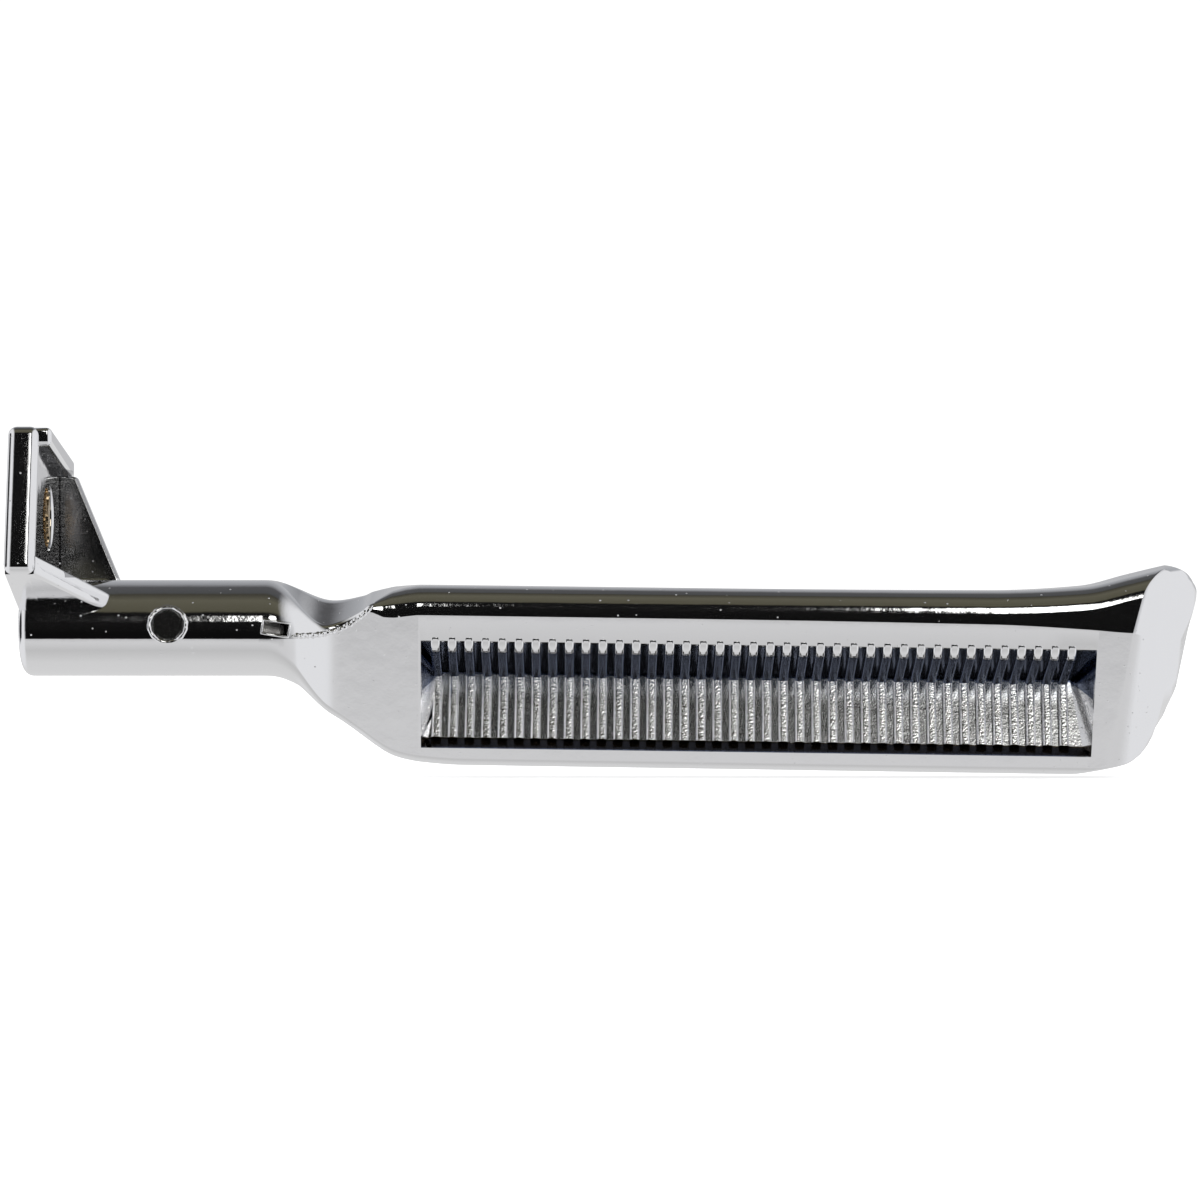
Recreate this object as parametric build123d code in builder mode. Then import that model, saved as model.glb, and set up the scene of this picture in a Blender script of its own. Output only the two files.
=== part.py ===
from build123d import *
import math
import os

# Inside door release lever: one plated die casting (barrel, neck, grip blade and
# crank ear) that turns on a steel pivot post. A cross pin in the barrel runs in the
# post's groove and keeps the lever on it.
#
# Frame, in millimetres: X runs along the pivot axis from the barrel's end face towards
# the blade's tip, Z is up, and Y points away from the finger side. The origin is on the
# pivot axis, in the plane of the barrel's end face.

os.makedirs("parts", exist_ok=True)

# ---- barrel and its bore ----
BARREL_R = 6.35
BARREL_LEN = 31.5
BARREL_ROUND = 1.3
SIDE_ARC = 8.0             # degrees of the barrel that run into each side of the neck
BORE_R = 3.05
BORE_LEN = 34.8
WINDOW_AT = (33.8, 0.0)    # X, Z of the small window from the neck's face to the bore
WINDOW_SIZE = (3.2, 1.5)
WINDOW_TURN = -9           # degrees, seen from the finger side

# ---- grip blade and neck ----
BLADE_TILT = 16.0          # degrees that the finger side faces down
BLADE_FALL = 0.8           # degrees that the blade drops towards its tip
RIM_ORIGIN = (98.0, -3.6, 1.12)  # on the finger side's upper edge, at mid length
RIM_HEIGHT = 20.5          # of the finger side, along its own face
BLADE_THICK = 10.6
SHOW_RISE = 2.1            # how far the show face stands above the finger side
SHOW_DROP = 1.4            # and below it
BLADE_START_X = 52.0
BLADE_END_X = 134.0
EDGE_RADII = [0.7, 3.6, 3.2, 1.6]  # finger edge, show top, show foot, finger foot
CREASE_X = 147.6           # where the finger side ends
TIP_X = 156.5              # where the show face ends

# Sections of the neck and of the tip. Each row is a place along the blade and then,
# in the blade's own directions, the near and far faces' depth, and the heights of the
# finger edge, show top, show foot and finger foot.
NECK_SECTIONS = [
    (36.4, -1.7, 8.8, -2.5, 1.9, -11.6, -10.9),
    (42.0, 0.0, 9.6, -1.9, 0.1, -15.2, -14.5),
    (47.0, 0.0, 10.4, -1.0, 1.4, -19.2, -18.2),
]
TIP_SECTIONS = [
    (140.0, 0.0, 10.6, -0.7, 2.9, -21.9, -20.5),
    (146.0, 0.0, 10.6, -1.1, 4.7, -21.9, -20.5),
    (152.0, 0.0, 10.6, -1.2, 6.5, -21.9, -20.5),
    (157.5, 0.0, 10.6, -1.2, 7.9, -21.9, -20.5),
]
# Right-hand end of the tip seen from the finger side, X and Z, with its corner radii.
TIP_OUTLINE = [(131.0, 12.0), (157.4, 8.6), (155.3, -6.0), (149.3, -16.8), (131.0, -24.0)]
TIP_OUTLINE_RADII = [4.6, 18.0, 7.0]

# ---- finger pocket and its ribs ----
POCKET_X = (52.6, 141.6)   # opening, along X
POCKET_U = (2.6, 18.5)     # opening, down the finger side from its upper edge
VALLEY_U = 10.3
VALLEY_DEPTH = 8.0
SILL_U = 18.2
SILL_DEPTH = 4.2
END_DRAFT = 2.2            # how far each end wall leans in over the valley's depth
RIB_COUNT = 39
RIB_X = (54.5, 138.3)      # centres of the first and the last rib
RIB_WIDTH = 1.15
RIB_STAND = 0.9            # how far a rib stands off the pocket's walls
RIB_ROOT = 0.4             # how far a rib's root runs into the walls

# ---- crank ear ----
EAR_THICK = 4.0
EAR_RIM_X = 5.6            # right face of the thicker rim over the ear
EAR_FRONT = (-13.4, 26.2)  # Y, Z of the front upper corner
EAR_FOOT = (-17.2, 7.4)    # Y, Z of the front lower corner
EAR_HEEL = (-5.0, 2.2)     # where the foot's underside meets the barrel
EAR_BACK = (6.2, 22.6)     # Y, Z of the back upper corner
EAR_ROUND = 0.9
RIM_UNDERSIDE = (24.2, 20.1)  # Z of the rim's underside, at the front and at the web
WEB_THICK = 2.0
WEB_TOP = (6.2, 20.1)      # X, Z of the web's upper corner
WEB_FOOT = (12.6, 4.6)     # X, Z where the web runs into the barrel
SHELF_THICK = 2.5
SHELF_FOOT_X = 4.4         # right end of the shelf at the crank's foot
SHELF_TIP_X = 12.0         # where the shelf's front edge reaches the barrel
HOLE_R = 4.0
HOLE_AT = (-5.3, 14.5)     # Y, Z of the rod clip's hole

# ---- pivot post and cross pin ----
POST_R = 3.0
POST_PROUD = 0.4
POST_END_X = 34.5
POST_CHAMFER = 0.4
SCREW_R = 1.65             # tapping radius of an M4 thread
SCREW_DEPTH = 14.0
PIN_X = 19.7
PIN_RISE = 4.2             # degrees that the pin stands above the level
PIN_R = 2.1
PIN_SINK = 0.15            # how far the pin's head lies under the barrel's surface
GROOVE_DEPTH = 1.0
GROOVE_GAP = 0.3           # room round the pin in the post's groove
PIN_CHAMFER = 0.25

# Reach of the tools that cut or trim, well past what they cut.
TOOL_REACH = 60.0
TOOL_PROUD = 9.0
MOUTH_PROUD = 1.0          # how far the pocket's tool stands out of its mouth

# The blade's own directions: along it, down its finger side, and deep into it.
tilt = math.radians(BLADE_TILT)
fall = math.radians(BLADE_FALL)
along = Vector(math.cos(fall), 0, -math.sin(fall))
deep = along.cross(Vector(0, math.sin(tilt), -math.cos(tilt))).normalized()


def blade_plane(x):
    """Section plane of the blade at x, with its x axis deep and its y axis up."""
    origin = Vector(*RIM_ORIGIN) + along * (x - RIM_ORIGIN[0])
    return Plane(origin=origin, x_dir=deep, z_dir=along)


def draw_section(plane, corners, radii):
    """A closed section with a round at each corner."""
    with BuildSketch(plane) as drawn:
        with BuildLine():
            FilletPolyline(*corners, radius=radii, close=True)
        make_face()
    return drawn.sketch


def blade_section(x, near, far, edge, top, base, foot):
    """Section of the blade or neck at x."""
    corners = [(near, edge), (far, top), (far, base), (near, foot)]
    return draw_section(blade_plane(x), corners, EDGE_RADII)


def plain_section(x, edge):
    """Section of the blade's even stretch at x."""
    base = -RIM_HEIGHT - SHOW_DROP
    return blade_section(x, 0, BLADE_THICK, edge, SHOW_RISE, base, -RIM_HEIGHT)


def rib_line(stand):
    """Corners of the pocket's two flanks, moved stand towards the open side."""
    brow = Vector(0, -POCKET_U[0])
    valley = Vector(VALLEY_DEPTH, -VALLEY_U)
    sill = Vector(SILL_DEPTH, -SILL_U)
    upper = (valley - brow).normalized()
    lower = (sill - valley).normalized()
    upper_out = Vector(upper.Y, -upper.X)
    lower_out = Vector(lower.Y, -lower.X)
    at_rim = brow + upper_out * stand
    at_rim = at_rim - upper * (at_rim.X / upper.X)
    at_valley = valley + (upper_out + lower_out) * (stand / (1 + upper_out.dot(lower_out)))
    at_sill = sill + lower_out * stand
    return [at_rim, at_valley, at_sill]


# ---- the casting's own shapes, joined below ----

# The barrel's circle is drawn in eight arcs, four long and four short, so that each
# one meets a corner or a side of the neck's sections.
with BuildSketch(Plane.YZ.offset(BARREL_LEN)) as barrel_end:
    with BuildLine():
        for quarter in range(4):
            corner_from = BLADE_TILT + 90 * quarter + SIDE_ARC / 2
            CenterArc((0, 0), BARREL_R, corner_from, 90 - SIDE_ARC)
            CenterArc((0, 0), BARREL_R, corner_from + 90 - SIDE_ARC, SIDE_ARC)
    make_face()
even_start = plain_section(BLADE_START_X, 0.0)
even_end = plain_section(BLADE_END_X, -0.3)
neck_sections = [blade_section(*row) for row in NECK_SECTIONS]
tip_sections = [blade_section(*row) for row in TIP_SECTIONS]

with BuildPart() as grip:
    loft([barrel_end.sketch, *neck_sections, even_start])
    loft([even_start, even_end], ruled=True)
    loft([even_end, *tip_sections])
    with BuildSketch(Plane.XZ):
        with BuildLine():
            FilletPolyline(*TIP_OUTLINE, radius=TIP_OUTLINE_RADII)
            Polyline(TIP_OUTLINE[-1], (0, TIP_OUTLINE[-1][1]), (0, TIP_OUTLINE[0][1]), TIP_OUTLINE[0])
        make_face()
    extrude(amount=TOOL_REACH, both=True, mode=Mode.INTERSECT)
    with BuildSketch(Plane(origin=RIM_ORIGIN, x_dir=along, z_dir=along.cross(deep))):
        with BuildLine():
            crease = CREASE_X - RIM_ORIGIN[0]
            end = TIP_X - RIM_ORIGIN[0]
            run = (end - crease) / BLADE_THICK
            Polyline(
                (crease - run * TOOL_PROUD, -TOOL_PROUD), (end, BLADE_THICK),
                (end + TOOL_PROUD, BLADE_THICK), (end + TOOL_PROUD, -TOOL_PROUD), close=True,
            )
        make_face()
    extrude(amount=TOOL_REACH, both=True, mode=Mode.SUBTRACT)


with BuildPart() as pocket:
    with BuildSketch(blade_plane(POCKET_X[0] - END_DRAFT)):
        with BuildLine():
            Polyline(
                (-MOUTH_PROUD, -POCKET_U[0]), (0, -POCKET_U[0]), (VALLEY_DEPTH, -VALLEY_U),
                (SILL_DEPTH, -SILL_U), (0, -POCKET_U[1]), (-MOUTH_PROUD, -POCKET_U[1]),
                close=True,
            )
        make_face()
    extrude(amount=POCKET_X[1] - POCKET_X[0] + 2 * END_DRAFT)
    with BuildSketch(Plane(origin=RIM_ORIGIN, x_dir=along, z_dir=along.cross(deep))):
        with BuildLine():
            left = POCKET_X[0] - RIM_ORIGIN[0]
            right = POCKET_X[1] - RIM_ORIGIN[0]
            lean = END_DRAFT / VALLEY_DEPTH
            Polyline(
                (left - lean * MOUTH_PROUD, -MOUTH_PROUD), (left + END_DRAFT, VALLEY_DEPTH),
                (right - END_DRAFT, VALLEY_DEPTH), (right + lean * MOUTH_PROUD, -MOUTH_PROUD),
                close=True,
            )
        make_face()
    extrude(amount=TOOL_REACH, both=True, mode=Mode.INTERSECT)

rib_pitch = (RIB_X[1] - RIB_X[0]) / (RIB_COUNT - 1)
rib_planes = [blade_plane(RIB_X[0] + n * rib_pitch) for n in range(RIB_COUNT)]
rib_outline = rib_line(-RIB_ROOT) + rib_line(RIB_STAND)[::-1]

with BuildPart() as ribs:
    with BuildSketch(*rib_planes):
        with BuildLine():
            Polyline(*rib_outline, close=True)
        make_face()
    extrude(amount=RIB_WIDTH / 2, both=True)

with BuildPart() as shelf:
    with BuildSketch(Plane.YZ):
        with BuildLine():
            heel_y, heel_z = EAR_HEEL
            foot_y, foot_z = EAR_FOOT
            Polyline(
                EAR_FOOT, EAR_HEEL, (0, heel_z), (0, heel_z + SHELF_THICK),
                (heel_y, heel_z + SHELF_THICK), (foot_y, foot_z + SHELF_THICK), close=True,
            )
        make_face()
    extrude(amount=SHELF_TIP_X)
    with BuildSketch(Plane.XY):
        with BuildLine():
            Polyline(
                (0, foot_y), (SHELF_FOOT_X, foot_y), (SHELF_TIP_X, heel_y),
                (SHELF_TIP_X, 0), (0, 0), close=True,
            )
        make_face()
    extrude(amount=TOOL_REACH, mode=Mode.INTERSECT)

with BuildPart() as ear:
    with BuildSketch(Plane.YZ):
        with BuildLine():
            Polyline(EAR_FRONT, EAR_BACK, (EAR_BACK[0], 0), (0, 0), EAR_HEEL, EAR_FOOT,
                     close=True)
        make_face()
    extrude(amount=EAR_RIM_X)
    fillet(ear.edges().filter_by(Axis.X, reverse=True).group_by(Axis.Y)[0:2], EAR_ROUND)
    web_face_y = EAR_BACK[0] - WEB_THICK
    with BuildSketch(Plane.YZ.offset(EAR_THICK)):
        with BuildLine():
            rim_rise = (RIM_UNDERSIDE[0] - RIM_UNDERSIDE[1]) / (web_face_y - EAR_FRONT[0])
            floor_rise = (foot_z - heel_z) / (heel_y - foot_y)
            floor_z = heel_z + SHELF_THICK
            open_y = foot_y - TOOL_PROUD
            Polyline(
                (open_y, RIM_UNDERSIDE[1] + rim_rise * (web_face_y - open_y)),
                (web_face_y, RIM_UNDERSIDE[1]), (web_face_y, floor_z), (heel_y, floor_z),
                (open_y, floor_z + floor_rise * (heel_y - open_y)), close=True,
            )
        make_face()
    extrude(amount=EAR_RIM_X, mode=Mode.SUBTRACT)
    with BuildSketch(Plane.YZ):
        with Locations(HOLE_AT):
            Circle(HOLE_R)
    extrude(amount=EAR_THICK, mode=Mode.SUBTRACT)

# ---- the casting ----

pin_angle = math.radians(PIN_RISE)
pin_out = Vector(0, -math.cos(pin_angle), math.sin(pin_angle))
pin_axis_plane = Plane(origin=(PIN_X, 0, 0), x_dir=(1, 0, 0), z_dir=pin_out)

with BuildPart() as lever_casting:
    extrude(barrel_end.sketch, amount=-BARREL_LEN)
    fillet(lever_casting.edges().group_by(Axis.X)[0], BARREL_ROUND)
    add(grip.part)
    add(ear.part)
    add(shelf.part)
    with BuildSketch(Plane.XZ.offset(-web_face_y)):
        with BuildLine():
            Polyline((0, 0), (0, WEB_TOP[1]), WEB_TOP, WEB_FOOT, (WEB_FOOT[0], 0), close=True)
        make_face()
    extrude(amount=-WEB_THICK)
    add(pocket.part, mode=Mode.SUBTRACT)
    add(ribs.part)
    with BuildSketch(Plane.YZ):
        Circle(BORE_R)
    extrude(amount=BORE_LEN, mode=Mode.SUBTRACT)
    with BuildSketch(Plane.XZ.offset(BORE_R / 2)):
        with Locations(WINDOW_AT):
            Rectangle(*WINDOW_SIZE, rotation=WINDOW_TURN)
    extrude(amount=BARREL_R, mode=Mode.SUBTRACT)
    with BuildSketch(pin_axis_plane):
        Circle(PIN_R)
    extrude(amount=2 * BARREL_R, mode=Mode.SUBTRACT)

# ---- the pivot post ----

with BuildPart() as pivot_post:
    with BuildSketch(Plane.YZ.offset(-POST_PROUD)):
        Circle(POST_R)
    extrude(amount=POST_END_X + POST_PROUD)
    chamfer(pivot_post.edges().filter_by(GeomType.CIRCLE), POST_CHAMFER)
    groove_width = 2 * (PIN_R + GROOVE_GAP)
    with BuildSketch(Plane.YZ.offset(PIN_X - groove_width / 2)):
        Circle(POST_R)
        Circle(POST_R - GROOVE_DEPTH, mode=Mode.SUBTRACT)
    extrude(amount=groove_width, mode=Mode.SUBTRACT)
    with BuildSketch(Plane.YZ.offset(-POST_PROUD)):
        Circle(SCREW_R)
    extrude(amount=SCREW_DEPTH, mode=Mode.SUBTRACT)

# ---- the cross pin ----

with BuildPart() as retaining_pin:
    pin_tip = POST_R - GROOVE_DEPTH + GROOVE_GAP
    pin_head = BARREL_R - PIN_SINK
    with BuildSketch(pin_axis_plane.offset(pin_tip)):
        Circle(PIN_R)
    extrude(amount=pin_head - pin_tip)
    chamfer(retaining_pin.edges().filter_by(GeomType.CIRCLE).sort_by(Axis.Y)[0], PIN_CHAMFER)

for name, piece in [
    ("lever_casting", lever_casting),
    ("pivot_post", pivot_post),
    ("retaining_pin", retaining_pin),
]:
    piece.part.label = name
    export_step(piece.part, f"parts/{name}.step")
    print(name, piece.part.is_valid, round(piece.part.volume), piece.part.bounding_box())
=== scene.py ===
import math

import bmesh
import bpy
from mathutils import Matrix, Vector


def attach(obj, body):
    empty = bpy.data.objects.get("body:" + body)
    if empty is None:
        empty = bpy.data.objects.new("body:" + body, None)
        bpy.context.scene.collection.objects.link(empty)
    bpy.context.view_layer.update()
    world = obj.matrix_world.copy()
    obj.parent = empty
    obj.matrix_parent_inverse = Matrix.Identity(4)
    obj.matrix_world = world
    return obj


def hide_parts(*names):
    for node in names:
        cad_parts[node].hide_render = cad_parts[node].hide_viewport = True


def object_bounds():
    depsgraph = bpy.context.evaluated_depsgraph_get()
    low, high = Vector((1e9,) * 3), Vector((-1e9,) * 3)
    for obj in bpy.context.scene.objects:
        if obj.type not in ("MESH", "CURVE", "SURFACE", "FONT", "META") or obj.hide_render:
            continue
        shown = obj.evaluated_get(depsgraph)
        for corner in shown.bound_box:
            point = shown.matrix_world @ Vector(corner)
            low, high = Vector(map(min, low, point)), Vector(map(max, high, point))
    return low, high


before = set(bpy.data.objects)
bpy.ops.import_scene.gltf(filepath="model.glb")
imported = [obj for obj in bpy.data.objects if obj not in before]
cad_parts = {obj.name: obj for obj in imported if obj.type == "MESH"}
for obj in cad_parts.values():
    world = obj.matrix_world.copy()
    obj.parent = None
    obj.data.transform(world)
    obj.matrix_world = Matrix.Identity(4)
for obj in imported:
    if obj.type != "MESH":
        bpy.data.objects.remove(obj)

bl_info = {
    "name": "Inside Door Release Lever",
    "version": (1, 0, 0),
    "blender": (4, 5, 0),
    "location": "View3D > Sidebar > Release Lever",
    "description": "Models a plated inside door release lever around its packed frame",
    "category": "Object",
}

MM = 0.001
CAD_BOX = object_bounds()

# The grip blade leans over the pivot axis and falls a little towards its tip. These are
# its own directions: along it, deep into it from the finger side, and up its finger side.
BLADE_TILT = math.radians(16.0)
BLADE_FALL = math.radians(0.8)
ALONG = Vector((math.cos(BLADE_FALL), 0, -math.sin(BLADE_FALL)))
DEEP = ALONG.cross(Vector((0, math.sin(BLADE_TILT), -math.cos(BLADE_TILT)))).normalized()
UP = ALONG.cross(DEEP)
RIM_ORIGIN = Vector((98.0, -3.6, 1.12))

BARREL_R = 6.35
BARREL_LEN = 31.5
BARREL_ROUND = 1.3
BORE_R = 3.05
BORE_DEPTH = 34.8
PIN_X = 19.7
PIN_R = 2.12
PIN_RISE = math.radians(4.2)   # how far the cross pin looks up from level

# Sections of the neck, blade and tip, in millimetres. Each row is a place along the
# blade, the near and far faces' depth, the finger edge's height, how far the roll
# stands over it, and the heights of the show top, show foot and finger foot.
SECTIONS = [
    (36.4, -1.7, 8.8, -3.0, 1.2, 2.1, -11.8, -11.1),
    (39.4, -0.9, 9.2, -2.8, 1.0, 1.3, -13.9, -13.1),
    (42.0, -0.2, 9.6, -2.0, 0.8, 0.8, -15.8, -14.9),
    (44.7, 0.0, 10.0, -0.5, 0.7, 0.7, -18.0, -16.95),
    (46.0, 0.0, 10.2, 0.3, 0.9, 1.0, -19.1, -17.95),
    (46.9, 0.0, 10.3, 0.0, 1.7, 1.1, -19.8, -18.6),
    (47.8, 0.0, 10.4, -0.35, 2.6, 1.15, -20.4, -19.2),
    (49.0, 0.0, 10.45, -0.4, 3.3, 1.2, -21.05, -19.8),
    (50.6, 0.0, 10.5, -0.2, 3.65, 1.2, -21.6, -20.25),
    (52.6, 0.0, 10.6, 0.0, 3.8, 1.2, -21.95, -20.6),
    (58.0, 0.0, 10.6, 0.0, 3.85, 1.2, -22.35, -20.95),
    (90.0, 0.0, 10.6, 0.0, 4.0, 1.2, -22.4, -21.0),
    (128.0, 0.0, 10.6, -0.2, 4.4, 1.5, -22.45, -21.05),
    (140.0, 0.0, 10.6, -0.7, 5.4, 2.4, -22.45, -21.05),
    (146.0, 0.0, 10.6, -1.1, 7.0, 4.2, -22.45, -21.05),
    (152.0, 0.0, 10.6, -1.2, 8.6, 5.8, -22.45, -21.05),
    (158.0, 0.0, 10.6, -1.2, 9.8, 7.0, -22.45, -21.05),
]
CORNER_RADII = (0.5, 3.2, 3.4, 3.2, 1.4)  # finger edge, roll, show top, show foot, finger foot
SIDE_NORMALS = (164, 74, 0, -98, -180)    # degrees, of the sides after each corner
SIDE_ARC = 6                              # degrees of the barrel that run into each side
ARC_STEPS = 14
NECK_RUN = 10.0            # how far the barrel's circle takes to turn into the blade
NECK_STEP, NECK_RINGS = 0.25, 84
BLADE_START, BLADE_STEP, BLADE_RINGS = 53.5, 1.5, 56
CREASE_X = 148.0           # where the end facet meets the finger side
FACET_RUN = 0.92           # how far the end facet runs along for each millimetre deep
TIP_START = 136.5
TIP_ROUND = 1.8
TIP_STEP = 0.5             # spacing of the sections that the tip's sides are read from
TIP_SECTIONS = 52
TIP_CENTRE = (150.0, 4.6, -6.0)
CREASE_SOFT = 1.6          # how wide the facet's crease blends into the outline
# The tip's outline from the finger side: height, then how far out the casting reaches there.
TIP_OUTLINE = [
    (-20.4, 136.0), (-19.2, 142.4), (-18.05, 146.5), (-15.6, 149.3), (-12.3, 151.4), (-5.9, 154.2),
    (1.57, 156.1), (4.64, 156.15), (6.8, 155.1), (8.3, 153.0), (9.3, 147.0),
]

# The finger pocket: its ends along the blade, its edges' heights, and the depth and height
# of the line where its two flanks meet and of its sill.
POCKET_X = (52.6, 141.6)
POCKET_U = (-3.65, -18.35)
VALLEY = Vector((8.0, -10.3))
SILL = Vector((2.9, -18.0))
END_DRAFT = 2.2            # how far each end wall leans in over the pocket's depth
RIB_COUNT = 39
RIB_X = (54.5, 138.3)
RIB_WIDTH = 1.3
RIB_PROUD = 0.06           # how far a rib's head stands off the finger side
# The flash seam's line on the neck, as places along the pivot axis and heights.
SEAM = [(35.8, -1.05), (39.1, -0.85), (41.5, -0.3), (43.3, 0.5), (45.0, 1.7), (46.3, 2.9)]
WINDOW_X = 33.8
WINDOW_HALF = (1.6, 0.75)
WINDOW_TURN = -9           # degrees

# The crank's corners as places across and heights, and its thicknesses.
EAR_THICK = 4.0
EAR_RIM_X = 5.6
EAR_FRONT = (-13.4, 26.2)
EAR_FOOT = (-17.2, 7.4)
EAR_HEEL = (-5.0, 2.2)
EAR_BACK = (6.2, 22.6)
RIM_UNDERSIDE = (24.2, 20.1)
WEB_THICK = 2.0
WEB_TOP = (6.2, 20.1)
WEB_FOOT = (12.6, 4.6)
SHELF_THICK = 2.5
SHELF_TIP_X = 12.0
HOLE_R = 4.0
HOLE_AT = (-5.3, 14.5)


def deselect_all():
    """Leaves edit mode and deselects everything."""
    if bpy.context.mode != "OBJECT":
        bpy.ops.object.mode_set(mode="OBJECT")
    bpy.ops.object.select_all(action="DESELECT")


def blade_point(x, w, u):
    """A point of the blade from its place along, its depth and its height."""
    return RIM_ORIGIN + ALONG * (x - RIM_ORIGIN.x) + DEEP * w + UP * u


def rounded_ring(corners, radii):
    """Points round a closed outline with a round at each corner, the same number each time."""
    starts, ends, ring = [], [], []
    arcs = []
    for n, here in enumerate(corners):
        back = (corners[n - 1] - here).normalized()
        ahead = (corners[(n + 1) % len(corners)] - here).normalized()
        half = back.angle(ahead) / 2
        centre = here + (back + ahead).normalized() * radii[n] / math.sin(half)
        set_back = radii[n] / math.tan(half)
        starts.append(here + back * set_back)
        ends.append(here + ahead * set_back)
        arcs.append(centre)
    for n, centre in enumerate(arcs):
        first = starts[n] - centre
        last = ends[n] - centre
        turn = first.angle_signed(last)
        for step in range(ARC_STEPS + 1):
            angle = -turn * step / ARC_STEPS
            spoke = Vector((
                first.x * math.cos(angle) - first.y * math.sin(angle),
                first.x * math.sin(angle) + first.y * math.cos(angle),
            ))
            ring.append(centre + spoke)
    return ring


def round_ring(x, radius):
    """The same number of points round the pivot axis."""
    ring = []
    for n, after in enumerate(SIDE_NORMALS):
        before = SIDE_NORMALS[n - 1] + (360 if n == 0 else 0)
        first = before - SIDE_ARC / 2
        last = after + SIDE_ARC / 2
        angles = [first + (last - first) * step / ARC_STEPS for step in range(ARC_STEPS + 1)]
        for angle in angles:
            spoke = DEEP * math.cos(math.radians(angle)) + UP * math.sin(math.radians(angle))
            ring.append(Vector((x, spoke.y * radius, spoke.z * radius)))
    return ring


def blade_ring(x, near, far, edge, roll, top, base, foot):
    """One ring of the blade, from a row of SECTIONS."""
    rise = Vector((math.sin(BLADE_TILT), math.cos(BLADE_TILT))) * roll
    corners = [
        Vector((near, edge)),
        Vector((near, edge)) + rise,
        Vector((far, top)),
        Vector((far, base)),
        Vector((near, foot)),
    ]
    radii = [min(r, roll * 0.85) if n in (0, 1) else r for n, r in enumerate(CORNER_RADII)]
    return [blade_point(x, p.x, p.y) for p in rounded_ring(corners, radii)]


def spline(rows, x):
    """Values between rows at x, on a smooth curve through them that never overshoots."""
    at = max(n for n in range(len(rows) - 1) if rows[n][0] <= x or n == 0)
    here, ahead = rows[at], rows[at + 1]
    before = rows[max(at - 1, 0)]
    beyond = rows[min(at + 2, len(rows) - 1)]
    span = ahead[0] - here[0]
    t = (x - here[0]) / span
    values = []
    for k in range(1, len(here)):
        step = (ahead[k] - here[k]) / span
        slope_here = step if before is here else (here[k] - before[k]) / (here[0] - before[0])
        slope_ahead = step if beyond is ahead else (beyond[k] - ahead[k]) / (beyond[0] - ahead[0])
        slope_here = 0 if slope_here * step <= 0 else 2 * slope_here * step / (slope_here + step)
        slope_ahead = 0 if slope_ahead * step <= 0 else 2 * slope_ahead * step / (slope_ahead + step)
        values.append(
            here[k] * (2 * t**3 - 3 * t**2 + 1)
            + ahead[k] * (3 * t**2 - 2 * t**3)
            + span * slope_here * (t**3 - 2 * t**2 + t)
            + span * slope_ahead * (t**3 - t**2)
        )
    return values


def apply_all(piece):
    """Applies the piece's modifiers, in order."""
    deselect_all()
    piece.select_set(True)
    bpy.context.view_layer.objects.active = piece
    for modifier in list(piece.modifiers):
        bpy.ops.object.modifier_apply(modifier=modifier.name)


def ring_piece(name, rings):
    """A closed piece from rings of points in millimetres: a grid, rolled up and capped."""
    deselect_all()
    around = len(rings[0])
    bpy.ops.mesh.primitive_grid_add(x_subdivisions=around, y_subdivisions=len(rings) - 1, size=1)
    piece = bpy.context.object
    piece.name = name
    piece.data.name = name
    for row, ring in enumerate(rings):
        for col in range(around + 1):
            piece.data.vertices[row * (around + 1) + col].co = ring[col % around]
    piece.data.update()
    bpy.ops.object.mode_set(mode="EDIT")
    bpy.ops.mesh.select_all(action="SELECT")
    bpy.ops.mesh.remove_doubles(threshold=0.0001)
    bpy.ops.mesh.fill_holes(sides=0)
    bpy.ops.mesh.select_all(action="SELECT")
    bpy.ops.mesh.normals_make_consistent(inside=False)
    bpy.ops.object.mode_set(mode="OBJECT")
    return piece


def combine(piece, tool, operation):
    """Joins, cuts or trims the piece with a closed tool, which is used up."""
    modifier = piece.modifiers.new(operation.title(), "BOOLEAN")
    modifier.operation = operation
    modifier.solver = "EXACT"
    modifier.object = tool
    apply_all(piece)
    bpy.data.objects.remove(tool)
    bpy.ops.object.mode_set(mode="EDIT")
    bpy.ops.mesh.select_all(action="SELECT")
    bpy.ops.mesh.remove_doubles(threshold=0.004)
    bpy.ops.mesh.dissolve_degenerate(threshold=0.002)
    bpy.ops.object.mode_set(mode="OBJECT")


def soften(piece, width, segments, chosen, angle=30):
    """Bevels the piece's sharp edges whose middle is chosen."""
    deselect_all()
    bpy.context.view_layer.objects.active = piece
    piece.select_set(True)
    bpy.ops.object.mode_set(mode="EDIT")
    bpy.ops.mesh.select_mode(type="EDGE")
    bpy.ops.mesh.select_all(action="DESELECT")
    mesh = bmesh.from_edit_mesh(piece.data)
    for edge in mesh.edges:
        middle = (edge.verts[0].co + edge.verts[1].co) / 2
        sharp = len(edge.link_faces) == 2 and edge.calc_face_angle(0) > math.radians(angle)
        edge.select_set(sharp and chosen(middle))
    bmesh.update_edit_mesh(piece.data)
    bpy.ops.mesh.bevel(offset=width, segments=segments, profile=0.5, clamp_overlap=False)
    bpy.ops.mesh.select_mode(type="VERT")
    bpy.ops.object.mode_set(mode="OBJECT")


def joined(pieces):
    """Joins pieces that stay apart into one object, the first one."""
    deselect_all()
    for piece in pieces:
        piece.select_set(True)
    bpy.context.view_layer.objects.active = pieces[0]
    bpy.ops.object.join()
    return pieces[0]


def turned(name, places, centre, along, side, steps=72):
    """A turned piece: rings about an axis, from places of (distance along it, radius)."""
    over = along.cross(side)
    angles = [2 * math.pi * n / steps for n in range(steps)]
    return ring_piece(name, [
        [centre + along * x + (side * math.cos(a) + over * math.sin(a)) * r for a in angles]
        for x, r in places
    ])


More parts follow.
